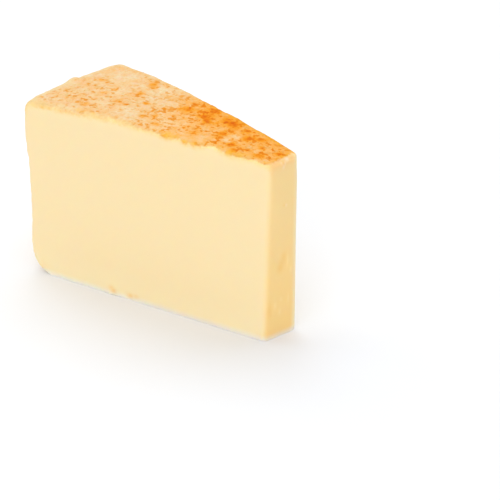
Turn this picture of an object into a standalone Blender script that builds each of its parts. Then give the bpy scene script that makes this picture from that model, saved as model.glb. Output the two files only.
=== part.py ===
"""A wedge cut from a round cheese with a mottled orange rind, standing on the flat bottom of the cheese.

Metres, +Z up. The wedge's middle line lies along X, with the rinded round side at -X and the narrow end,
where the tip was cut off, at +X. The origin is the middle of the base.
"""

import math
from collections import namedtuple

import bmesh
import bpy
from mathutils import Vector, noise

# The whole cheese that the wedge comes from
WHEEL_RADIUS = 0.144
WHEEL_HEIGHT = 0.070

# The knife cuts: two through the wheel's axis and one across the tip
HALF_ANGLE = math.radians(10.0)
NOSE_DISTANCE = 0.0417  # from the wheel's axis to the cut across the tip

# Corners of the section that runs from the tip out to the rim
SHOULDER_RADIUS = 0.0042  # top of the rim, as the mould left it
FOOT_RADIUS = 0.0086  # bottom of the rim
TIP_TOP_RADIUS = 0.0020
TIP_BASE_RADIUS = 0.0016

# How far the soft paste has rounded off along the edges of the two long cuts
TOP_EDGE_ROUND = 0.0020
RIM_EDGE_ROUND = 0.0020
NOSE_EDGE_ROUND = 0.0028
BASE_EDGE_ROUND = 0.0012

# How the cheese departs from a true wheel: a domed top, a side that bulges above a waist
DOME_RISE, DOME_POWER = 0.0015, 2.3
LIP_BULGE, LIP_HEIGHT, LIP_SPREAD = 0.0014, 0.0582, 0.0110
FOOT_BULGE, FOOT_HEIGHT, FOOT_SPREAD = 0.00056, 0.0120, 0.0090
WAIST_DEPTH = 0.00031
BULGE_REACH = 0.016  # how far in from the rim the side's bulge is felt
CORNER_DROOP, CORNER_SPREAD = 0.0014, 0.0206  # the rim's back corner sags

# The cut across the tip is neither square to the middle line nor quite upright
NOSE_SKEW = 0.00104
NOSE_LEAN = 0.0010
NOSE_REACH = 0.030

# Relief of the surface: depth of the bumps, and how far apart they are
PASTE_WAVE, PASTE_WAVE_SIZE = 0.00016, 0.024
RIND_WAVE, RIND_WAVE_SIZE = 0.00026, 0.0080
EDGE_WAVE, EDGE_WAVE_SIZE = 0.00026, 0.0090
FLAT_BASE = 0.005  # from here down the bumps lose their height, so that the block stands flat

# Single lumps and dents: distance from the wheel's axis, sideways, height, spread, rise
LUMPS = (
    (0.1420, -0.0012, 0.0690, 0.0040, 0.00060),
    (0.1415, -0.0185, 0.0690, 0.0035, 0.00040),
    (0.1065, -0.0185, 0.0010, 0.0045, 0.00055),
    (0.0417, -0.0015, 0.0308, 0.0028, -0.00055),
    (0.0417, 0.0000, 0.0531, 0.0014, 0.00020),
)

# Fineness of the mesh
CELL = 0.0038
ROUND_STEP = math.tan(math.radians(22.5))  # the places of these two steps share a quarter turn evenly
ARC_STEP = (math.tan(math.radians(15)), math.tan(math.radians(30)))
CELLS_ACROSS = 12
LAST_COLUMN = CELLS_ACROSS + 4  # the rounding of each of the two long cuts adds two columns
TOUCHING = 1e-6

PASTE_COLOUR = (0.93, 0.71, 0.35, 1.0)
PASTE_ROUGHNESS = 0.45

Side = namedtuple("Side", "depth place way_out edge_round")
Section = namedtuple("Section", "outline out depth edge_round")


def clear_scene():
    for thing in list(bpy.data.objects):
        bpy.data.objects.remove(thing, do_unlink=True)


def smooth_step(low, high, value):
    share = min(max((value - low) / (high - low), 0.0), 1.0)
    return share * share * (3.0 - 2.0 * share)


def bump(value, centre, spread):
    return math.exp(-(((value - centre) / spread) ** 2))


def round_marks(radius):
    """Distances from a cut edge at which its rounding needs lines of the mesh."""
    return [0.0, radius * (1.0 - ROUND_STEP), radius]


def arc_marks(radius):
    """Distances from a side at which the round corner of the section needs lines of the mesh."""
    return [radius * (1.0 - ARC_STEP[1]), radius * (1.0 - ARC_STEP[0]), radius]


def mesh_lines(low, high, low_marks, high_marks):
    """Positions of mesh lines: marks measured in from both ends, and evenly spaced lines between them."""
    start = low + low_marks[-1]
    end = high - high_marks[-1]
    cells = round((end - start) / CELL)
    between = [start + (end - start) * number / cells for number in range(1, cells)]
    return [low + mark for mark in low_marks] + between + [high - mark for mark in reversed(high_marks)]


def section_at(radius, height):
    """Where a place in the section lies: the point of the section's outline that it belongs to, the way out
    of the section there, how deep inside it is, and how far the cut edge is rounded off there."""
    rim = Side(WHEEL_RADIUS - radius, WHEEL_RADIUS, 1, RIM_EDGE_ROUND)
    tip = Side(radius - NOSE_DISTANCE, NOSE_DISTANCE, -1, NOSE_EDGE_ROUND)
    top = Side(WHEEL_HEIGHT - height, WHEEL_HEIGHT, 1, TOP_EDGE_ROUND)
    base = Side(height, 0.0, -1, BASE_EDGE_ROUND)
    corners = (
        (rim, top, SHOULDER_RADIUS),
        (rim, base, FOOT_RADIUS),
        (tip, top, TIP_TOP_RADIUS),
        (tip, base, TIP_BASE_RADIUS),
    )
    for end, face, corner_radius in corners:
        along = corner_radius - end.depth
        up = corner_radius - face.depth
        if along > 0 and up > 0:
            out = Vector((end.way_out * along, face.way_out * up)).normalized()
            inward = Vector((end.way_out, face.way_out)) * corner_radius
            centre = Vector((end.place, face.place)) - inward
            rounding = end.edge_round * out.x**2 + face.edge_round * out.y**2
            return Section(centre + out * corner_radius, out, corner_radius - max(along, up), rounding)
    nearest = min(rim, tip, top, base)
    out = Vector((nearest.way_out, 0)) if nearest in (rim, tip) else Vector((0, nearest.way_out))
    outline = Vector((radius, height)) + out * nearest.depth
    return Section(outline, out, nearest.depth, nearest.edge_round)


def rounded_off(depth, inset, radius):
    """Rounds a cut edge. A point this deep below the wheel's skin and this far in from the cut is moved."""
    if depth >= radius or inset >= radius:
        return depth, inset
    below, beside = radius - depth, radius - inset
    shrink = max(below, beside) / math.hypot(below, beside)
    return radius - below * shrink, radius - beside * shrink


def wedge_point(section, on_outline, column):
    """The place of a corner of the mesh on the true wedge, with the wheel's axis as the Z axis."""
    depth = 0.0 if on_outline else section.depth
    from_side = min(column, LAST_COLUMN - column)
    side = -1 if column < LAST_COLUMN / 2 else 1
    if from_side <= 2:
        inset = round_marks(section.edge_round)[from_side]
        depth, inset = rounded_off(depth, inset, section.edge_round)
    radius, height = section.outline - section.out * depth
    if from_side <= 2:
        angle = side * (HALF_ANGLE - math.asin(inset / radius))
    else:
        widest = HALF_ANGLE - math.asin(section.edge_round / radius)
        angle = widest * (2.0 * (column - 2) / CELLS_ACROSS - 1.0)
    nose = NOSE_DISTANCE / math.cos(angle)
    share = (radius - NOSE_DISTANCE) / (WHEEL_RADIUS - NOSE_DISTANCE)
    reach = nose + (WHEEL_RADIUS - nose) * share
    return Vector((-reach * math.cos(angle), reach * math.sin(angle), height))


def diced_box(lines_by_axis):
    """A box whose sides are divided along the given positions of its three axes."""
    low = Vector([lines[0] for lines in lines_by_axis])
    high = Vector([lines[-1] for lines in lines_by_axis])
    mesh = bmesh.new()
    bmesh.ops.create_cube(mesh, size=1.0)
    for corner in mesh.verts:
        corner.co = [low[i] + (high[i] - low[i]) * (corner.co[i] + 0.5) for i in range(3)]
    for axis, lines in enumerate(lines_by_axis):
        across = Vector((0, 0, 0))
        across[axis] = 1.0
        for place in lines[1:-1]:
            everything = mesh.verts[:] + mesh.edges[:] + mesh.faces[:]
            bmesh.ops.bisect_plane(mesh, geom=everything, plane_co=across * place, plane_no=across)
    return mesh


def cut_wedge():
    """The wedge as a true piece of a true wheel, its edges rounded. It starts as a box that is as long as the
    section, as high as the wheel and one unit wide for each column of cells, and is then bent into place."""
    tip_marks = round_marks(NOSE_EDGE_ROUND)
    rim_marks = round_marks(RIM_EDGE_ROUND) + arc_marks(FOOT_RADIUS)
    base_marks = round_marks(BASE_EDGE_ROUND) + arc_marks(FOOT_RADIUS)
    top_marks = round_marks(TOP_EDGE_ROUND) + arc_marks(SHOULDER_RADIUS)[1:]
    radii = mesh_lines(NOSE_DISTANCE, WHEEL_RADIUS, tip_marks, rim_marks)
    heights = mesh_lines(0.0, WHEEL_HEIGHT, base_marks, top_marks)
    mesh = diced_box((radii, range(LAST_COLUMN + 1), heights))
    for corner in mesh.verts:
        radius, column, height = corner.co
        to_outline = min(radius - radii[0], radii[-1] - radius, height - heights[0], heights[-1] - height)
        on_outline = to_outline < TOUCHING
        corner.co = wedge_point(section_at(radius, height), on_outline, round(column))
    bmesh.ops.recalc_face_normals(mesh, faces=mesh.faces[:])
    return mesh


def side_bulge(height):
    """How far the side of the cheese stands out from its true radius at this height."""
    lip = LIP_BULGE * bump(height, LIP_HEIGHT, LIP_SPREAD)
    foot = FOOT_BULGE * bump(height, FOOT_HEIGHT, FOOT_SPREAD)
    return lip + foot - WAIST_DEPTH


def sagged(point):
    """Where a point of the true wedge ends up once the cheese has bulged, domed and been cut unevenly."""
    radius = math.hypot(point.x, point.y)
    outward = Vector((point.x, point.y, 0)) / radius
    near_rim = smooth_step(WHEEL_RADIUS - BULGE_REACH, WHEEL_RADIUS, radius)
    moved = point + outward * side_bulge(point.z) * near_rim

    middle = (NOSE_DISTANCE + WHEEL_RADIUS) / 2
    along = abs(radius - middle) / (WHEEL_RADIUS - middle)
    back_corner = WHEEL_RADIUS * math.sin(HALF_ANGLE)
    droop = bump(radius, WHEEL_RADIUS, CORNER_SPREAD) * bump(point.y, back_corner, CORNER_SPREAD)
    lift = DOME_RISE * max(1.0 - along**DOME_POWER, 0.0) - CORNER_DROOP * droop
    moved.z += lift * smooth_step(0.0, WHEEL_HEIGHT, point.z)

    near_nose = 1.0 - smooth_step(NOSE_DISTANCE, NOSE_DISTANCE + NOSE_REACH, -point.x)
    sideways = point.y / (NOSE_DISTANCE * math.tan(HALF_ANGLE))
    upright = 0.5 - point.z / WHEEL_HEIGHT
    moved.x += near_nose * sideways * (NOSE_SKEW + NOSE_LEAN * upright)
    return moved


def rind_share(point):
    """1 on the wheel's own skin, 0 well inside the cut faces."""
    depth = min(WHEEL_RADIUS - math.hypot(point.x, point.y), WHEEL_HEIGHT - point.z)
    return 1.0 - smooth_step(0.0005, 0.003, depth)


def relief(point, normal):
    """The unevenness of the surface at a point, as a shift of that point."""
    height = PASTE_WAVE * noise.noise(point / PASTE_WAVE_SIZE)
    height += RIND_WAVE * noise.noise(point / RIND_WAVE_SIZE) * rind_share(point)
    near_base = 1.0 - smooth_step(0.002, 0.006, point.z)
    height += EDGE_WAVE * noise.noise(point / EDGE_WAVE_SIZE) * near_base
    for radius, sideways, up, spread, rise in LUMPS:
        centre = Vector((-radius, sideways, up))
        height += rise * bump((point - centre).length, 0.0, spread)
    shift = normal * height
    shift.z *= smooth_step(0.0, FLAT_BASE, point.z)
    return shift


def give_relief(mesh):
    mesh.normal_update()
    moves = [(vertex, sagged(vertex.co) + relief(vertex.co, vertex.normal)) for vertex in mesh.verts]
    for vertex, place in moves:
        vertex.co = place


def centre_on_base(mesh):
    """Puts the origin at the middle of the block's box, on the base."""
    low = Vector(min(vertex.co[axis] for vertex in mesh.verts) for axis in range(3))
    high = Vector(max(vertex.co[axis] for vertex in mesh.verts) for axis in range(3))
    middle = Vector(((low.x + high.x) / 2, (low.y + high.y) / 2, low.z))
    bmesh.ops.translate(mesh, verts=mesh.verts[:], vec=-middle)


def paste_material():
    material = bpy.data.materials.new("paste")
    material.use_nodes = True
    shader = material.node_tree.nodes["Principled BSDF"]
    shader.inputs["Base Color"].default_value = PASTE_COLOUR
    shader.inputs["Roughness"].default_value = PASTE_ROUGHNESS
    shader.inputs["Metallic"].default_value = 0.0
    return material


def make_block():
    mesh = cut_wedge()
    give_relief(mesh)
    centre_on_base(mesh)
    bmesh.ops.triangulate(mesh, faces=mesh.faces[:])
    data = bpy.data.meshes.new("cheese_block")
    mesh.to_mesh(data)
    mesh.free()
    data.materials.append(paste_material())
    data.shade_smooth()
    block = bpy.data.objects.new("cheese_block", data)
    bpy.context.scene.collection.objects.link(block)
    return block


clear_scene()
make_block()
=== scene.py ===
import math
from collections import namedtuple

import bmesh
import bpy
import numpy as np
from mathutils import Matrix, Vector, noise


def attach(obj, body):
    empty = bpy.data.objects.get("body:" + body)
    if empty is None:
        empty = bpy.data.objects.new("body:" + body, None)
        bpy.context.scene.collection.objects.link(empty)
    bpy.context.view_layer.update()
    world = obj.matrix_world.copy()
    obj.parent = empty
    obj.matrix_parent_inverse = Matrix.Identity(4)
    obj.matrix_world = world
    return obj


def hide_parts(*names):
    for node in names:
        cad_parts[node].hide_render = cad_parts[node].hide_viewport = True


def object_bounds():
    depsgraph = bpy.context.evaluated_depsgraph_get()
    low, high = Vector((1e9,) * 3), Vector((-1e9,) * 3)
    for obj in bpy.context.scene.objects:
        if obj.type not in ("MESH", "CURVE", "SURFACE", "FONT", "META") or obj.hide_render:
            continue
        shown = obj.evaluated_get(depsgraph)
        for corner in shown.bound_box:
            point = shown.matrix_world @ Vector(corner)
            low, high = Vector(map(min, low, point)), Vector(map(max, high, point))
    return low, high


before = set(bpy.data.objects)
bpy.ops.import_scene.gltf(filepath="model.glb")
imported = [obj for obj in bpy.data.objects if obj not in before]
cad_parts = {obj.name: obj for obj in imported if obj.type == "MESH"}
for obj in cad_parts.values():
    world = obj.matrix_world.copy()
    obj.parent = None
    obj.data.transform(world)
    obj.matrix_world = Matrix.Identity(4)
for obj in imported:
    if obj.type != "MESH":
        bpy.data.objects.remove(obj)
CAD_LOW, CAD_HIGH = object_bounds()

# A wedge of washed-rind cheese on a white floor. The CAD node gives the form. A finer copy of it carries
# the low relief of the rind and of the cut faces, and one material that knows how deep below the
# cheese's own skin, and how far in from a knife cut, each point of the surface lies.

NODE = "cheese_block"
PIECE = "cheese_wedge"

# The whole cheese, as in part.py. Its axis stands at AXIS in the frame of the part.
WHEEL_RADIUS = 0.144
WHEEL_HEIGHT = 0.070
HALF_ANGLE = math.radians(10.0)
NOSE_DISTANCE = 0.0417
AXIS_X, AXIS_Y = 0.09299, -0.00003
SHOULDER_RADIUS = 0.0042
FOOT_RADIUS = 0.0086
DOME_RISE, DOME_POWER = 0.0015, 2.3
LIP_BULGE, LIP_HEIGHT, LIP_SPREAD = 0.0014, 0.0582, 0.0110
FOOT_BULGE, FOOT_HEIGHT, FOOT_SPREAD = 0.00056, 0.0120, 0.0090
WAIST_DEPTH = 0.00031
BULGE_REACH = 0.016
NOSE_EDGE_ROUND = 0.0028
CORNER_DROOP, CORNER_SPREAD = 0.0014, 0.0206
NOSE_SKEW = 0.00104
NOSE_LEAN = 0.0010
NOSE_REACH = 0.030

# Fineness of the visible mesh, in metres
VOXEL = 0.00055
SMOOTH_STEPS, SMOOTH_SHARE = 8, 0.5
TOUCHING = 1e-6
SHARP_ANGLE = math.radians(35.0)

# The rounded foot of the cuts is drawn out, in millimetres: wholly up to the turn, not at all at the reach.
# Near the rim the foot keeps its round, and the draw fades over these shares of the reach up the wall.
FOOT_TURN, FOOT_REACH = 0.75, 2.6
FOOT_FROM_RIM = (5.0, 9.0)
FOOT_FADE = (0.6, 0.8)
# Round that is left of the front cut's upright edge at the tip, in millimetres
FRONT_EDGE_ROUND = 1.8

# Low relief: size of its features in metres, height in millimetres, and place in the noise
COARSE_GRAIN = (0.0024, 0.10, 0.0)
FINE_GRAIN = (0.0013, 0.07, 5.0)
PITS = (0.0021, 0.16, 9.0)
PIT_SPAN = (0.30, 0.60)
PASTE_WAVES = (0.0045, 0.025, 3.0)
EDGE_WAVES = (0.0030, 0.14, 7.0)
EDGE_WIDTH = 1.4
DARK_MARK_DEPTH, PALE_MARK_HEIGHT = 0.18, 0.10

# The photograph's camera, found from the block's edges
FOCAL_LENGTH = 133.67
SENSOR = 36.0
CAMERA_PLACE = (0.39423, -0.44106, 0.35301)
CAMERA_AZIMUTH = math.radians(39.066)
CAMERA_ELEVATION = math.radians(29.685)
CAMERA_ROLL = math.radians(0.867)

# Soft studio light: name, place, size across and watts of each lamp
LIGHT_TINT = (0.985, 1.0, 1.03)
WORLD_LIGHT = 0.49
LIT_POINT = (0.0, 0.0, 0.03)
LAMPS = (
    ("above_left", (-0.70, 0.10, 1.00), 1.3, 7.4),
    ("above_behind", (0.0, 0.66, 1.08), 1.3, 5.4),
    ("front", (0.35, -1.05, 0.80), 1.2, 6.0),
    ("front_right", (1.00, -0.35, 0.70), 1.2, 2.9),
)
FLOOR_COLOUR = (0.817, 0.822, 0.828, 1.0)
FLOOR_ROUGHNESS = 0.9
FLOOR_SIZE = 3.0

MM = 0.001
NEXT_TO_NOTHING = 1e-6

# How deep a point lies below the cheese's skin, how far in from the long cuts and from the cut across the
# tip, and how far from the rim, all in millimetres
Depths = namedtuple("Depths", "skin side nose rim")


def smooth_step(low, high, value):
    share = np.clip((value - low) / (high - low), 0.0, 1.0)
    return share * share * (3.0 - 2.0 * share)


def bump(value, centre, spread):
    return np.exp(-(((value - centre) / spread) ** 2))


def noise_at(points, size, shift=0.0):
    """Smooth noise from -1 to 1 at each point, with features of about this size."""
    offset = Vector((shift, shift * 1.7, shift * 0.6))
    return np.array([noise.noise(Vector(point) / size + offset) for point in points])


def corner_depth(end_depth, face_depth, radius):
    """Depth below a skin whose two sides meet in a round corner."""
    along = radius - end_depth
    up = radius - face_depth
    inside = (along > 0) & (up > 0)
    flat = np.minimum(end_depth, face_depth)
    return np.where(inside, radius - np.hypot(along, up), flat)


def at_top(points):
    """1 on the top of the cheese, 0 lower down."""
    return smooth_step(0.060, 0.066, points[:, 2])


def depths(points):
    """The depths of each point, found by undoing the bulges, the dome and the skew of the CAD node's form."""
    x = points[:, 0] - AXIS_X
    y = points[:, 1] - AXIS_Y
    z = points[:, 2]
    radius = np.hypot(x, y)
    bulge = LIP_BULGE * bump(z, LIP_HEIGHT, LIP_SPREAD) + FOOT_BULGE * bump(z, FOOT_HEIGHT, FOOT_SPREAD)
    near_rim = smooth_step(WHEEL_RADIUS - BULGE_REACH, WHEEL_RADIUS, radius)
    true_radius = radius - (bulge - WAIST_DEPTH) * near_rim

    middle = (NOSE_DISTANCE + WHEEL_RADIUS) / 2
    along = np.abs(true_radius - middle) / (WHEEL_RADIUS - middle)
    back_corner = WHEEL_RADIUS * math.sin(HALF_ANGLE)
    droop = bump(true_radius, WHEEL_RADIUS, CORNER_SPREAD) * bump(y, back_corner, CORNER_SPREAD)
    lift = DOME_RISE * np.maximum(1.0 - along**DOME_POWER, 0.0) - CORNER_DROOP * droop
    true_z = z - lift * smooth_step(0.0, WHEEL_HEIGHT, z)

    rim = WHEEL_RADIUS - true_radius
    top = WHEEL_HEIGHT - true_z
    skin = np.minimum(corner_depth(rim, top, SHOULDER_RADIUS), corner_depth(rim, z, FOOT_RADIUS))

    near_nose = 1.0 - smooth_step(NOSE_DISTANCE, NOSE_DISTANCE + NOSE_REACH, -x)
    sideways = y / (NOSE_DISTANCE * math.tan(HALF_ANGLE))
    true_x = x - near_nose * sideways * (NOSE_SKEW + NOSE_LEAN * (0.5 - z / WHEEL_HEIGHT))
    nose = -true_x - NOSE_DISTANCE
    angle = np.arctan2(np.abs(y), -x)
    side = radius * np.sin(HALF_ANGLE - angle)
    return Depths(skin / MM, side / MM, nose / MM, rim / MM)


def drawn_out(distance):
    """How far a point of the rounded foot moves to sharpen it."""
    kept = FOOT_REACH * np.maximum(distance - FOOT_TURN, 0.0) / (FOOT_REACH - FOOT_TURN)
    return np.maximum(distance - kept, 0.0)


def way_out(points, deep):
    """The level way out of the cheese, square to the nearest cut and turning at the upright edges."""
    edge = NOSE_EDGE_ROUND / MM
    near_side = np.maximum(edge - deep.side, 0.0) + NEXT_TO_NOTHING * (deep.side < deep.nose)
    near_nose = np.maximum(edge - deep.nose, 0.0) + NEXT_TO_NOTHING * (deep.nose <= deep.side)
    across = np.where(points[:, 1] < 0.0, -math.cos(HALF_ANGLE), math.cos(HALF_ANGLE))
    way = np.stack([near_side * math.sin(HALF_ANGLE) + near_nose, near_side * across], 1)
    return way / np.linalg.norm(way, axis=1)[:, None]


def sharpen_edge(points, deep):
    """Draws the front cut's upright edge at the tip out to the smaller round that the photo shows.

    Each point moves straight out from the axis of the larger round, until that round lies on the flat cuts
    or on the smaller round, whose axis is this far out from the first in both directions: inner."""
    edge = NOSE_EDGE_ROUND / MM
    inner = edge - FRONT_EDGE_ROUND
    from_side = np.maximum(edge - deep.side, 0.0)
    from_nose = np.maximum(edge - deep.nose, 0.0)
    reach = np.maximum(np.hypot(from_side, from_nose), NEXT_TO_NOTHING)
    cosine, sine = from_side / reach, from_nose / reach
    in_corner = (points[:, 1] < 0.0) & (from_side > 0.0) & (from_nose > 0.0)
    larger = np.where(in_corner, np.maximum(cosine, sine), 1.0)
    to_flat = edge / larger
    middle = inner * (cosine + sine)
    to_round = middle + np.sqrt(np.maximum(middle**2 - 2.0 * inner**2 + FRONT_EDGE_ROUND**2, 0.0))
    drawn = np.where(to_flat * np.minimum(cosine, sine) > inner, to_round, to_flat)
    shift = (drawn / edge - 1.0) * reach * in_corner
    points[:, :2] += way_out(points, deep) * (shift * MM)[:, None]


def fill_foot(points, deep):
    """Moves the rounded foot of the cuts out and down, so that it meets the floor almost as a sharp edge."""
    height = points[:, 2] / MM
    at_cuts = smooth_step(*FOOT_FROM_RIM, deep.rim)
    shift = drawn_out(corner_depth(deep.side, deep.nose, NOSE_EDGE_ROUND / MM)) * at_cuts
    shift *= 1.0 - smooth_step(FOOT_FADE[0] * FOOT_REACH, FOOT_FADE[1] * FOOT_REACH, height)
    points[:, :2] += way_out(points, deep) * (shift * MM)[:, None]
    points[:, 2] -= at_cuts * drawn_out(height) * MM


def fine_mesh():
    """The CAD node's form as an even fine mesh."""
    mesh = bmesh.new()
    mesh.from_mesh(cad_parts[NODE].data)
    bmesh.ops.remove_doubles(mesh, verts=mesh.verts[:], dist=TOUCHING)
    coarse = bpy.data.meshes.new("coarse")
    mesh.to_mesh(coarse)
    mesh.free()
    carrier = bpy.data.objects.new("carrier", coarse)
    bpy.context.scene.collection.objects.link(carrier)
    remesh = carrier.modifiers.new("remesh", "REMESH")
    remesh.mode = "VOXEL"
    remesh.voxel_size = VOXEL
    smooth = carrier.modifiers.new("smooth", "SMOOTH")
    smooth.factor = SMOOTH_SHARE
    smooth.iterations = SMOOTH_STEPS
    graph = bpy.context.evaluated_depsgraph_get()
    fine = bpy.data.meshes.new_from_object(carrier.evaluated_get(graph))
    bpy.data.objects.remove(carrier, do_unlink=True)
    bpy.data.meshes.remove(coarse)
    return fine


def coordinates(mesh):
    places = np.zeros(len(mesh.vertices) * 3)
    mesh.vertices.foreach_get("co", places)
    return places.reshape(-1, 3)


def normals(mesh):
    directions = np.zeros(len(mesh.vertices) * 3, np.float32)
    mesh.vertex_normals.foreach_get("vector", directions)
    return directions.reshape(-1, 3).astype(float)


# Blotches of the rind that stand out, and pale patches: place along and across the wedge, size, all in
# millimetres, and strength
BLOTCHES = (
    (-38.5, 5.5, 2.0, 0.32),
    (-35.5, -11.0, 2.6, 0.10),
    (-28.5, -14.6, 2.1, 0.22),
    (-29.0, 1.3, 1.0, 0.26),
    (-30.0, -3.2, 1.0, 0.20),
    (-20.0, -4.5, 3.2, 0.12),
    (-21.2, 13.2, 1.8, 0.38),
    (-19.5, 10.8, 1.3, 0.20),
    (-19.4, 4.2, 1.7, 0.42),
    (-11.6, -0.9, 1.2, 0.44),
    (-2.2, -6.2, 1.4, 0.34),
    (-5.4, -9.0, 1.4, 0.25),
    (2.2, -11.0, 1.3, 0.24),
    (2.5, -2.5, 1.1, 0.20),
    (-3.8, 0.6, 1.0, 0.20),
    (2.8, 5.4, 2.2, 0.34),
    (11.0, 11.0, 2.3, 0.38),
    (10.8, 5.0, 2.0, 0.52),
    (13.8, 2.8, 1.9, 0.52),
    (18.5, 8.0, 1.9, 0.22),
    (22.3, 6.8, 2.0, 0.36),
    (24.3, -0.8, 1.7, 0.50),
    (25.0, -3.5, 1.2, 0.20),
    (33.0, 2.2, 1.7, 0.46),
    (36.5, 4.5, 1.4, 0.30),
    (31.2, -5.0, 1.5, 0.50),
    (35.0, -7.3, 1.4, 0.48),
    (40.3, 0.2, 1.2, 0.34),
    (38.0, -4.2, 1.1, 0.30),
    (43.0, -4.5, 1.8, 0.44),
    (47.4, 1.0, 1.4, 0.46),
    (-32.0, 13.0, 5.0, -0.06),
    (-43.0, 10.0, 4.0, -0.05),
    (-17.0, 9.0, 1.8, -0.10),
    (-5.5, 4.5, 2.5, -0.09),
    (-10.5, -11.5, 4.0, -0.08),
    (28.2, 0.8, 2.0, -0.14),
    (28.6, -3.5, 1.6, -0.12),
    (7.0, -7.0, 4.0, -0.06),
    (19.5, -3.5, 2.5, -0.08),
    (41.5, 3.8, 1.5, -0.08),
    (-23.0, 16.0, 2.0, 0.12),
    (-9.5, 9.0, 1.6, 0.12),
    (0.2, 3.8, 1.0, 0.20),
    (-24.0, 4.6, 1.2, 0.14),
    (-44.0, -13.5, 1.6, 0.12),
    (-25.0, -19.0, 1.4, 0.14),
    (17.0, -7.5, 1.3, 0.14),
    (16.0, -4.5, 1.0, 0.16),
    (29.0, 5.5, 1.4, 0.14),
    (28.5, -6.5, 0.9, 0.22),
)
BLOTCH_WARP, BLOTCH_WARP_SIZE = 0.0009, 0.0022
# Where the rind has few specks, the same way, and the most that it can be free of them
CALMEST = 0.9
CALM_PLACES = (
    (-36.0, 14.0, 8.0, 0.75),
    (-45.0, 14.0, 6.0, 0.60),
    (-27.0, 9.5, 5.0, 0.60),
    (-44.0, 3.0, 4.0, 0.50),
    (-44.5, -5.0, 3.5, 0.50),
    (-16.5, 9.0, 3.0, 0.50),
    (-5.5, 4.5, 3.5, 0.70),
    (-10.5, -11.5, 4.5, 0.70),
    (-35.0, -18.5, 4.0, 0.40),
    (-14.0, -17.0, 3.0, 0.50),
    (-8.0, 11.5, 2.5, 0.30),
    (28.2, 0.8, 2.2, 0.40),
    (28.6, -3.5, 2.2, 0.40),
)

# Small marks of the cut faces and of their edges: place, half width and half height in millimetres, strength
FLECKS = (
    (-40.9, -23.6, 69.0, 0.8, 0.5, 0.6),
    (-37.8, -23.1, 69.1, 0.8, 0.4, 0.5),
    (-26.7, -19.6, 70.8, 0.9, 0.6, 0.6),
    (-20.7, -18.3, 71.0, 0.7, 0.6, 0.5),
    (9.8, -13.9, 70.6, 1.4, 0.9, 0.8),
    (11.6, -13.9, 70.4, 0.9, 0.7, 0.8),
    (17.2, -12.9, 70.4, 0.8, 0.8, 0.7),
    (20.5, -12.5, 70.4, 1.4, 0.5, 0.6),
    (34.0, -9.8, 70.1, 0.9, 0.7, 0.7),
    (-13.4, -18.8, 3.0, 1.2, 1.0, 0.42),
    (-12.6, -18.7, 2.2, 1.2, 0.9, 0.60),
    (-5.6, -17.4, 2.0, 1.5, 0.8, 0.55),
    (-3.4, -17.0, 2.2, 1.4, 0.7, 0.35),
    (-43.5, -23.4, 3.2, 1.6, 2.0, 0.12),
)
# Pale marks of the tip's cut: the first five, at its top corner, are a painted highlight on a small raised
# lip, and the rest are pale spots and streaks
PALE_MARKS = (
    (50.7, 1.3, 69.4, 0.8, 0.7, 0.8),
    (50.9, 0.6, 68.9, 0.5, 0.7, 0.5),
    (51.2, -1.1, 67.5, 0.6, 0.9, 0.5),
    (50.7, -1.8, 69.0, 0.35, 0.9, 0.5),
    (51.2, -0.3, 68.6, 0.35, 0.9, 0.5),
    (51.4, 0.5, 52.3, 0.45, 0.5, 1.0),
    (51.5, 2.0, 30.0, 0.42, 2.3, 1.0),
    (51.9, 3.4, 26.0, 0.50, 1.4, 1.0),
    (51.2, -0.8, 15.3, 0.50, 0.9, 0.65),
    (50.7, -3.4, 13.5, 0.60, 1.6, 0.80),
    (51.1, -1.3, 10.2, 0.60, 1.3, 0.70),
    (51.8, 2.5, 14.5, 0.50, 2.2, 0.65),
)
DARK_MARKS = (
    (50.9, -0.9, 68.9, 0.35, 0.9, 0.45),
    (51.3, -0.5, 52.6, 0.40, 0.5, 0.40),
    (51.0, 0.4, 31.4, 1.2, 2.6, 0.34),
    (50.9, -1.2, 28.2, 1.5, 1.9, 0.38),
    (50.95, -0.4, 29.6, 1.4, 2.0, 0.34),
    (50.0, -5.7, 12.0, 0.9, 3.2, 0.30),
)
# Steps in the cheese's upper rim: place along and across, half width and height, in millimetres
RIM_LUMPS = (
    (-48.8, 0.8, 2.0, 0.22),
    (-48.5, 3.4, 1.6, -0.62),
    (-48.5, -3.4, 2.6, -0.48),
    (-46.6, -22.9, 1.5, -0.20),
    (-47.0, 17.5, 4.0, 0.45),
    (-48.2, -23.3, 1.0, 0.20),
    (45.0, 7.0, 7.0, -0.25),
)

# Where the rind's colour reaches further down the front cut, or stops short of it: place along the edge,
# length and how far, in millimetres
SPILLS = (
    (-42.0, 4.0, 0.3),
    (-33.0, 3.0, 0.5),
    (-26.5, 2.0, 0.6),
    (-13.0, 6.0, -0.7),
    (8.8, 2.2, 0.8),
    (17.2, 1.6, 0.9),
    (21.5, 2.2, 0.7),
    (27.8, 2.6, -1.3),
    (35.5, 2.4, 0.5),
    (44.5, 3.0, -0.7),
)
TIP_SPILL, RIM_SPILL = 1.7, 1.8

# The tip's colour, its own deeper yellow and in part painted shade, starts round the upright edges over this
# span, in millimetres, and at the back edge so much later, where a pale strip is left
TIP_SPAN = (-1.6, 1.4)
PALE_BACK_EDGE = 2.4


def blotches(points):
    """The strength of the placed blotches at each point, their outlines made ragged."""
    along = points[:, 0] + BLOTCH_WARP * noise_at(points, BLOTCH_WARP_SIZE, 11.0)
    across = points[:, 1] + BLOTCH_WARP * noise_at(points, BLOTCH_WARP_SIZE, 13.0)
    return spread_over_top(points, BLOTCHES, along, across)


def calm(points):
    """How far the rind is free of specks at each point."""
    return np.minimum(spread_over_top(points, CALM_PLACES, points[:, 0], points[:, 1]), CALMEST)


def rim_relief(points):
    """Small steps in the upper rim."""
    return spread_over_top(points, RIM_LUMPS, points[:, 0], points[:, 1])


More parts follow.
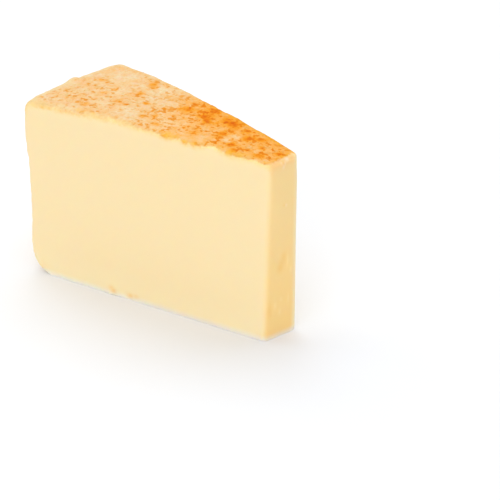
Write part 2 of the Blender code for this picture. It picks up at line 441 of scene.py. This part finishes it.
def spread_over_top(points, table, along, across):
    """The sum of a table's round places at each point of the top."""
    total = np.zeros(len(points))
    for x, y, size, strength in table:
        total += strength * bump(np.hypot(along - x * MM, across - y * MM), 0.0, size * MM)
    return total * at_top(points)


def marks(points, table):
    """The strength of the strongest of a table's marks at each point."""
    total = np.zeros(len(points))
    for x, y, z, wide, tall, strength in table:
        place = np.array((x, y, z)) * MM
        level = np.hypot(points[:, 0] - place[0], points[:, 1] - place[1]) / (wide * MM)
        upright = (points[:, 2] - place[2]) / (tall * MM)
        total = np.maximum(total, strength * bump(np.hypot(level, upright), 0.0, 1.0))
    return total


def spills(points, at_tip, rim):
    """How far the rind's colour reaches down over the edge of each cut, in millimetres."""
    total = np.zeros(len(points))
    for x, length, reach in SPILLS:
        total += reach * bump(points[:, 0], x * MM, length * MM)
    on_front = 1.0 - smooth_step(-0.006, 0.0, points[:, 1])
    total = total * on_front * (1.0 - at_tip) - TIP_SPILL * at_tip
    below_top = 1.0 - smooth_step(0.060, 0.068, points[:, 2])
    return total * at_top(points) - RIM_SPILL * (1.0 - smooth_step(1.0, 4.0, rim)) * below_top


def foot(points, out, rim):
    """1 at the very foot of the front cut and of the cut across the tip, 0 from a few millimetres up, at the
    rim, at the back cut and underneath. There the paste is painted pale, against the shade where the cuts
    meet the floor."""
    low = 1.0 - smooth_step(0.0, 0.0028, points[:, 2])
    upright = smooth_step(-0.97, -0.90, out[:, 2])
    at_back = smooth_step(0.55, 0.80, out[:, 1])
    return low * smooth_step(-1.0, 5.0, rim) * upright * (1.0 - at_back)


def mottling(points, cut, rim):
    """How mottled the rind is: hardly at the rim's upper edge and beside the cuts through the rim."""
    on_top = smooth_step(1.5, 6.0, rim)
    on_side = 1.0 - smooth_step(0.036, 0.062, points[:, 2])
    return np.maximum(on_top, 0.8 * on_side * smooth_step(1.0, 12.0, cut))


def rind_heat(points):
    """How red and blotched the rind is, 0 to 1: more towards the tip and the back cut, least at the rim."""
    x, y = points[:, 0], points[:, 1]
    half_width = (AXIS_X - x) * math.tan(HALF_ANGLE)
    across = np.clip(y / half_width, -1.0, 1.0)
    towards_tip = smooth_step(-0.014, 0.012, x)
    heat = 0.14 + 0.15 * towards_tip
    heat += 0.13 * smooth_step(-0.3, 0.8, across) * smooth_step(-0.012, 0.008, x)
    heat -= 0.07 * (1.0 - smooth_step(-0.050, -0.043, x))
    heat += 0.12 * smooth_step(0.80, 0.97, across) * smooth_step(-0.006, 0.004, x)
    return heat


def waves(points, kind):
    size, height, place = kind
    return height * noise_at(points, size, place)


def relief(points, deep):
    """How far the surface stands out from the CAD node's form, in millimetres, with nothing at the floor."""
    from_edge = deep.skin - np.minimum(deep.side, deep.nose)
    on_rind = 1.0 - smooth_step(-0.6, 0.9, from_edge)
    pit_size, pit_depth, pit_place = PITS
    pits = pit_depth * smooth_step(*PIT_SPAN, noise_at(points, pit_size, pit_place))
    height = on_rind * (waves(points, COARSE_GRAIN) + waves(points, FINE_GRAIN) - pits)
    height += (1.0 - on_rind) * waves(points, PASTE_WAVES)
    height += bump(from_edge, 0.0, EDGE_WIDTH) * waves(points, EDGE_WAVES)
    height += rim_relief(points)
    height -= DARK_MARK_DEPTH * marks(points, DARK_MARKS)
    height += PALE_MARK_HEIGHT * marks(points, PALE_MARKS)
    return height * smooth_step(0.0002, 0.004, points[:, 2])


def store_looks(mesh, points, moved, out, deep):
    """Keeps, at each point of the mesh, the numbers that the material reads.

    Skin and cut are depths in millimetres, and spill is how far the rind's colour reaches over the edge. The
    others go from 0 to 1. Tip and fold are 1 on the cut across the tip, and differ at its back edge. Redness,
    calm and mottle are the rind's. Slope is 1 where the surface faces up, soft at the rim's half of the
    block, upper near the top, and low and foot near the floor. Slope, soft, low and foot also place painted
    light: the rind lighter where it turns down and darker over the rim's half, the front cut lighter low
    down, and the foot painted pale. Fleck, pale and dark are the small marks; the pale ones at the top of
    the tip are a painted highlight."""
    cut = np.minimum(deep.side, deep.nose)
    past_edge = deep.side - deep.nose
    beyond = np.where(points[:, 1] > 0.0, PALE_BACK_EDGE, 0.0)
    looks = {
        "skin": deep.skin,
        "cut": cut,
        "tip": smooth_step(*TIP_SPAN, past_edge - beyond),
        "fold": smooth_step(*TIP_SPAN, past_edge),
        "redness": rind_heat(points) + blotches(points),
        "calm": calm(points),
        "spill": spills(points, smooth_step(-2.5, 1.0, past_edge), deep.rim),
        "mottle": mottling(points, cut, deep.rim),
        "slope": smooth_step(0.30, 0.95, out[:, 2]),
        "soft": 1.0 - smooth_step(-0.010, 0.008, points[:, 0]),
        "upper": smooth_step(0.0, 0.060, points[:, 2]) * smooth_step(-2.0, 5.0, deep.rim),
        "low": 1.0 - smooth_step(0.0, 0.014, points[:, 2]),
        "foot": foot(moved, out, deep.rim),
        "fleck": marks(points, FLECKS),
        "pale": marks(points, PALE_MARKS),
        "dark": marks(points, DARK_MARKS),
    }
    for name, values in looks.items():
        attribute = mesh.attributes.new(name, "FLOAT", "POINT")
        attribute.data.foreach_set("value", values.astype(np.float32))


def make_wedge():
    mesh = fine_mesh()
    points = coordinates(mesh)
    out = normals(mesh)
    deep = depths(points)
    moved = points + out * (relief(points, deep) * MM)[:, None]
    sharpen_edge(moved, deep)
    fill_foot(moved, deep)
    moved = np.clip(moved, np.array(CAD_LOW), np.array(CAD_HIGH))
    mesh.vertices.foreach_set("co", moved.ravel())
    mesh.update()
    store_looks(mesh, points, moved, out, deep)
    mesh.name = PIECE
    mesh.shade_smooth()
    mesh.set_sharp_from_angle(angle=SHARP_ANGLE)
    wedge = bpy.data.objects.new(PIECE, mesh)
    bpy.context.scene.collection.objects.link(wedge)
    return wedge


def linear(red, green, blue):
    """An sRGB colour, 0 to 255, as the linear colour that a shader takes."""
    parts = []
    for value in (red, green, blue):
        share = value / 255
        parts.append(share / 12.92 if share <= 0.04045 else ((share + 0.055) / 1.055) ** 2.4)
    return (*parts, 1.0)


class Nodes:
    """Short names for the nodes of a material."""

    def __init__(self, material):
        self.tree = material.node_tree
        self.place = self.add("ShaderNodeTexCoord").outputs["Object"]
        self.attributes = {}

    def add(self, kind, **settings):
        node = self.tree.nodes.new(kind)
        for name, value in settings.items():
            setattr(node, name, value)
        return node

    def feed(self, socket, value):
        if isinstance(value, bpy.types.NodeSocket):
            self.tree.links.new(value, socket)
        else:
            socket.default_value = value

    def math(self, operation, first, second=0.0, third=0.0):
        node = self.add("ShaderNodeMath", operation=operation)
        for socket, value in zip(node.inputs, (first, second, third)):
            self.feed(socket, value)
        return node.outputs[0]

    def product(self, *factors):
        result = factors[0]
        for factor in factors[1:]:
            result = self.math("MULTIPLY", result, factor)
        return result

    def add_share(self, total, value, weight, start=0.0):
        """The total with this weight of a value added, and with a number."""
        return self.math("ADD", total, self.math("MULTIPLY_ADD", value, weight, start))

    def attribute(self, name):
        """A number that is stored on the mesh."""
        if name not in self.attributes:
            node = self.add("ShaderNodeAttribute", attribute_name=name)
            self.attributes[name] = node.outputs["Fac"]
        return self.attributes[name]

    def noise(self, size, detail=2.0, shift=0.0):
        """Noise around 0.5 with features of about this size, in metres."""
        moved = self.add("ShaderNodeVectorMath", operation="ADD")
        self.feed(moved.inputs[0], self.place)
        moved.inputs[1].default_value = (shift, shift, shift)
        node = self.add("ShaderNodeTexNoise")
        self.feed(node.inputs["Vector"], moved.outputs[0])
        node.inputs["Scale"].default_value = 1.0 / size
        node.inputs["Detail"].default_value = detail
        return node.outputs["Fac"]

    def ease(self, value, low, high, start=0.0, end=1.0):
        node = self.add("ShaderNodeMapRange", interpolation_type="SMOOTHSTEP")
        self.feed(node.inputs["Value"], value)
        self.feed(node.inputs["From Min"], low)
        self.feed(node.inputs["From Max"], high)
        node.inputs["To Min"].default_value = start
        node.inputs["To Max"].default_value = end
        return node.outputs["Result"]

    def patches(self, size, place, low, high):
        """0 to 1, in soft patches of about this size: the more, the lower its two noise levels are."""
        return self.ease(self.noise(size, 1.0, shift=place), low, high)

    def ramp(self, value, stops):
        node = self.add("ShaderNodeValToRGB")
        elements = node.color_ramp.elements
        while len(elements) < len(stops):
            elements.new(1.0)
        for element, (place, colour) in zip(elements, stops):
            element.position = place
            element.color = colour
        self.feed(node.inputs["Fac"], value)
        return node.outputs["Color"]

    def blend(self, share, first, second):
        node = self.add("ShaderNodeMix", data_type="RGBA")
        self.feed(node.inputs["Factor"], share)
        self.feed(node.inputs[6], first)
        self.feed(node.inputs[7], second)
        return node.outputs[2]

    def scale(self, colour, factor):
        node = self.add("ShaderNodeVectorMath", operation="SCALE")
        self.feed(node.inputs[0], colour)
        self.feed(node.inputs["Scale"], factor)
        return node.outputs[0]


# Colours of the paste and of its small marks, with painted light among them: the front cut lighter low down,
# the foot painted pale, the tip's deeper yellow partly painted shade, and PALE_MARK a painted highlight
FRONT_PASTE = linear(252, 226, 177)
# Painted light: lighter than FRONT_PASTE, for the front cut's lowest 14 mm, against the shade near the floor
FRONT_PASTE_PAINTED_LIGHT_LOW = linear(255, 231, 183)
# Painted light: the foot of the cuts is painted pale against the shade where they meet the floor, paler still
# over the rim's half of the block
FOOT_PAINTED_LIGHT = linear(248, 233, 217)
FOOT_PAINTED_LIGHT_LEFT = linear(255, 243, 224)
# The tip's paste: its own deeper yellow, and in part painted shade for the lesser light on the tip
TIP_PASTE_AND_SHADE_LOW = linear(251, 211, 140)
TIP_PASTE_AND_SHADE_HIGH = linear(249, 215, 152)
TIP_FOLD = linear(251, 203, 136)
FLECK = linear(246, 188, 74)
# PALE_MARK's pink is a painted highlight at the top corner of the tip; lower down the pale marks take
# PALE_MARK_LOW
PALE_MARK = linear(255, 226, 192)
PALE_MARK_LOW = linear(254, 220, 156)
DARK_MARK = linear(242, 190, 100)
UNDER_RIND = linear(252, 212, 134)

# Colours of the rind from its palest to its reddest, as they look under the lamps, and how much
# brighter than its own colour the lamps show the top
RIND_COLOURS = (
    (0.00, (246, 223, 177)),
    (0.18, (248, 203, 142)),
    (0.33, (250, 184, 100)),
    (0.50, (248, 165, 50)),
    (0.65, (244, 146, 18)),
    (0.80, (233, 120, 2)),
    (1.00, (214, 86, 0)),
)
# Painted light: the rind's colour is lightened by TOP_LIGHT / SIDE_LIGHT where its surface turns down from
# the top, and darkened by RIM_LIGHT over the rim's half of the block
TOP_LIGHT, SIDE_LIGHT = 1.205, 1.03
RIM_LIGHT = 0.968
GOLD = (248, 184, 52)
STRAW = (248, 214, 148)
PINK = (251, 198, 158)
OLIVE = (226, 188, 104)
RUST = (226, 122, 18)
BROWN = (224, 158, 78)


def under_lamps(colour):
    return tuple(part / TOP_LIGHT for part in linear(*colour)[:3]) + (1.0,)


# Patches of the rind: size in metres, place in the noise, and the noise levels between which they start
SPECKS = (0.0024, 5.2, 0.58, 0.68)
SMALL_SPECKS = (0.0016, 9.4, 0.58, 0.70)
PINK_PATCHES = (0.0026, 6.4, 0.52, 0.70)
OLIVE_PATCHES = (0.0016, 7.9, 0.56, 0.68)
# How strongly each shows
PINK_SHARE, OLIVE_SHARE, BROWN_SHARE = 0.40, 0.45, 0.45

# Light that enters the paste and the rind, how far it goes in each colour, and its scale in metres
PASTE_DEPTH_SHARE, RIND_DEPTH_SHARE = 0.35, 0.06
DEPTH_COLOURS = (1.0, 0.55, 0.22)
DEPTH_SCALE = 0.0025
SHEEN = 0.04
GRAIN_STRENGTH, GRAIN_HEIGHT = 0.6, 0.0005


def rind_depths(n, middle, small):
    """How far below the rind's edge a point lies, in millimetres: with a straight edge and a ragged one.
    The foot of the cuts counts as deep, so that the flat underside's rind doesn't colour it."""
    from_edge = n.math("SUBTRACT", n.attribute("skin"), n.attribute("cut"))
    below = n.math("MULTIPLY_ADD", n.attribute("foot"), 5.0, from_edge)
    wander = n.math("MULTIPLY_ADD", middle, 2.4, -1.2)
    wander = n.add_share(wander, small, 1.6, -0.8)
    wander = n.math("ADD", wander, n.attribute("spill"))
    return below, n.math("SUBTRACT", below, wander)


def paste_colour(n, depth):
    """Colour of the cut faces: deeper across the tip, partly as painted shade; lighter low on the front cut
    and pale at the foot, as painted light against the shade near the floor; and yellower just below the rind,
    darker there on the tip where the surface faces up, as painted shade against the brighter top.
    """
    tip, upper = n.attribute("tip"), n.attribute("upper")
    # Painted light: the long cuts are lighter low down, the tip's paste is in part painted shade, and the
    # foot is painted pale against the shade where the cuts meet the floor
    long_cuts = n.blend(n.attribute("low"), FRONT_PASTE, FRONT_PASTE_PAINTED_LIGHT_LOW)
    tip_paste_and_shade = n.blend(upper, TIP_PASTE_AND_SHADE_LOW, TIP_PASTE_AND_SHADE_HIGH)
    foot_painted_light_share = n.product(n.attribute("foot"), n.ease(tip, 0.0, 1.0, 0.95, 0.85))
    foot_painted_light = n.blend(n.attribute("soft"), FOOT_PAINTED_LIGHT, FOOT_PAINTED_LIGHT_LEFT)
    paste = n.blend(foot_painted_light_share, n.blend(tip, long_cuts, tip_paste_and_shade), foot_painted_light)

    none_from = n.math("MULTIPLY_ADD", tip, 3.7, 2.8)
    whole_to = n.math("MULTIPLY_ADD", tip, 1.7, 0.3)
    yellowing = n.product(n.ease(depth, none_from, whole_to), n.ease(upper, 0.0, 1.0, 0.25, 0.70))
    # Painted shade: on the tip the yellowing is darker where the surface faces up, against the brighter light
    # on the top
    fold = n.scale(TIP_FOLD[:3], n.ease(n.attribute("slope"), 0.0, 1.0, 1.0, 0.86))
    return n.blend(yellowing, paste, n.blend(n.attribute("fold"), UNDER_RIND, fold))


def rind_colour(n, below, large, middle, small):
    """Colour of the rind: mottled oranges with pink, olive and brown, and a paler or golden fringe, with
    painted
    light: lighter where the surface turns down from the top, and a little darker over the rim's half of the
    block.
    """
    mottle, slope, soft = n.attribute("mottle"), n.attribute("slope"), n.attribute("soft")
    redness = n.attribute("redness")
    not_calm = n.math("SUBTRACT", 1.0, n.attribute("calm"))
    lively = n.product(n.ease(soft, 0.0, 1.0, 1.0, 0.85), not_calm)
    specks = n.product(n.patches(*SPECKS), lively)
    small_specks = n.product(n.patches(*SMALL_SPECKS), lively)

    warmth = n.math("MULTIPLY_ADD", large, 0.34, -0.15)
    warmth = n.add_share(warmth, middle, 0.32, -0.16)
    warmth = n.add_share(warmth, small, 0.30, -0.15)
    warmth = n.add_share(warmth, specks, 0.25)
    warmth = n.add_share(warmth, small_specks, 0.19)
    warmth = n.product(n.math("ADD", redness, warmth), n.ease(mottle, 0.0, 1.0, 0.15, 1.0))
    rind = n.ramp(warmth, [(place, under_lamps(colour)) for place, colour in RIND_COLOURS])

    pinkness = n.product(n.patches(*PINK_PATCHES), PINK_SHARE, mottle, n.ease(warmth, 0.45, 0.1))
    rind = n.blend(pinkness, rind, under_lamps(PINK))

    away_from_edge = n.ease(below, -1.5, -3.5)
    oliveness = n.product(n.patches(*OLIVE_PATCHES), OLIVE_SHARE, mottle, lively, away_from_edge)
    olive = n.blend(n.ease(warmth, 0.1, 0.6), under_lamps(OLIVE), under_lamps(RUST))
    rind = n.blend(oliveness, rind, olive)

    brownness = n.product(n.math("MAXIMUM", specks, small_specks), mottle, BROWN_SHARE)
    brown = n.blend(n.ease(warmth, 0.2, 0.6), under_lamps(BROWN), under_lamps(RUST))
    rind = n.blend(brownness, rind, brown)

    rind = n.blend(n.ease(mottle, 0.0, 1.0, 0.6, 0.0), rind, under_lamps(STRAW))
    fringe = n.product(n.ease(below, -3.6, -0.8), n.ease(large, 0.40, 0.60, 0.15, 0.75))
    fringe_colour = n.blend(n.ease(redness, 0.16, 0.34), under_lamps(STRAW), under_lamps(GOLD))
    rind = n.blend(fringe, rind, fringe_colour)

    # Painted light: lighter where the rind turns down from the top, and painted shade over the rim's half
    painted_facing_light = n.ease(slope, 0.0, 1.0, TOP_LIGHT / SIDE_LIGHT, 1.0)
    return n.scale(rind, n.product(painted_facing_light, n.ease(soft, 0.0, 1.0, 1.0, RIM_LIGHT)))


def add_marks(n, colour):
    """The small marks of the cut faces, over their colour, among them a painted highlight at the top corner
    of the tip.
    """
    colour = n.blend(n.attribute("fleck"), colour, FLECK)
    # The pink of the pale marks near the top is a painted highlight
    pale_mark_and_highlight = n.blend(n.ease(n.attribute("upper"), 0.9, 1.0), PALE_MARK_LOW, PALE_MARK)
    colour = n.blend(n.attribute("pale"), colour, pale_mark_and_highlight)
    return n.blend(n.attribute("dark"), colour, DARK_MARK)


def set_surface(n, shader, on_rind, small, fine):
    """A dull surface, grainy on the rind, that lets some light in."""
    roughness = n.math("MULTIPLY_ADD", small, 0.16, 0.40)
    n.feed(shader.inputs["Roughness"], n.math("MULTIPLY_ADD", on_rind, 0.08, roughness))

    lumps = n.math("MULTIPLY_ADD", small, 0.6, n.math("MULTIPLY", fine, 0.4))
    grain = n.add("ShaderNodeBump")
    grain.inputs["Strength"].default_value = GRAIN_STRENGTH
    grain.inputs["Distance"].default_value = GRAIN_HEIGHT
    n.feed(grain.inputs["Height"], n.product(lumps, n.ease(on_rind, 0.0, 1.0, 0.12, 1.0)))
    n.feed(shader.inputs["Normal"], grain.outputs["Normal"])

    depth_share = n.ease(on_rind, 0.0, 1.0, PASTE_DEPTH_SHARE, RIND_DEPTH_SHARE)
    n.feed(shader.inputs["Subsurface Weight"], depth_share)
    shader.inputs["Subsurface Radius"].default_value = DEPTH_COLOURS
    shader.inputs["Subsurface Scale"].default_value = DEPTH_SCALE
    shader.inputs["Specular IOR Level"].default_value = SHEEN


def cheese_material():
    material = bpy.data.materials.new("cheese")
    material.use_nodes = True
    shader = material.node_tree.nodes["Principled BSDF"]
    n = Nodes(material)
    large = n.noise(0.0055, 3.0, shift=0.3)
    middle = n.noise(0.0030, 2.0, shift=0.7)
    small = n.noise(0.0011, 2.0, shift=1.3)
    fine = n.noise(0.0006, 1.0, shift=2.1)

    # The rind ends in a soft line, softer towards the rim
    below, depth = rind_depths(n, middle, small)
    soft = n.attribute("soft")
    none_from = n.math("MULTIPLY_ADD", soft, 1.2, 0.9)
    whole_to = n.math("MULTIPLY_ADD", soft, -1.3, -0.5)
    on_rind = n.ease(depth, none_from, whole_to)

    colour = n.blend(on_rind, paste_colour(n, depth), rind_colour(n, below, large, middle, small))
    n.feed(shader.inputs["Base Color"], add_marks(n, colour))
    set_surface(n, shader, on_rind, small, fine)
    return material


def plain_material(name, colour, roughness):
    material = bpy.data.materials.new(name)
    material.use_nodes = True
    shader = material.node_tree.nodes["Principled BSDF"]
    shader.inputs["Base Color"].default_value = colour
    shader.inputs["Roughness"].default_value = roughness
    return material


def make_floor():
    mesh = bmesh.new()
    bmesh.ops.create_grid(mesh, x_segments=1, y_segments=1, size=FLOOR_SIZE)
    data = bpy.data.meshes.new("floor")
    mesh.to_mesh(data)
    mesh.free()
    floor = bpy.data.objects.new("floor", data)
    bpy.context.scene.collection.objects.link(floor)
    data.materials.append(plain_material("floor", FLOOR_COLOUR, FLOOR_ROUGHNESS))


def make_lights():
    world = bpy.data.worlds.new("studio")
    world.use_nodes = True
    background = world.node_tree.nodes["Background"]
    background.inputs["Color"].default_value = (*LIGHT_TINT, 1.0)
    background.inputs["Strength"].default_value = WORLD_LIGHT
    bpy.context.scene.world = world
    for name, place, size, power in LAMPS:
        data = bpy.data.lights.new(name, "AREA")
        data.shape = "DISK"
        data.size = size
        data.energy = power
        data.color = LIGHT_TINT
        lamp = bpy.data.objects.new(name, data)
        lamp.location = place
        towards = Vector(LIT_POINT) - Vector(place)
        lamp.rotation_euler = towards.to_track_quat("-Z", "Y").to_euler()
        bpy.context.scene.collection.objects.link(lamp)


def make_camera():
    azimuth, elevation, roll = CAMERA_AZIMUTH, CAMERA_ELEVATION, CAMERA_ROLL
    level = math.cos(elevation)
    back = Vector((math.sin(azimuth) * level, -math.cos(azimuth) * level, math.sin(elevation)))
    right = Vector((math.cos(azimuth), math.sin(azimuth), 0.0))
    up = back.cross(right)
    turned_right = right * math.cos(roll) + up * math.sin(roll)
    turned_up = up * math.cos(roll) - right * math.sin(roll)
    data = bpy.data.cameras.new("camera")
    data.lens = FOCAL_LENGTH
    data.sensor_width = SENSOR
    data.clip_start = 0.01
    camera = bpy.data.objects.new("camera", data)
    turn = Matrix((turned_right, turned_up, back)).transposed().to_4x4()
    camera.matrix_world = Matrix.Translation(CAMERA_PLACE) @ turn
    bpy.context.scene.collection.objects.link(camera)
    bpy.context.scene.camera = camera


wedge = make_wedge()
wedge.data.materials.clear()
wedge.data.materials.append(cheese_material())
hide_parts(NODE)
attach(wedge, "root")

make_floor()
make_lights()
make_camera()
bpy.context.scene.view_settings.view_transform = "Standard"
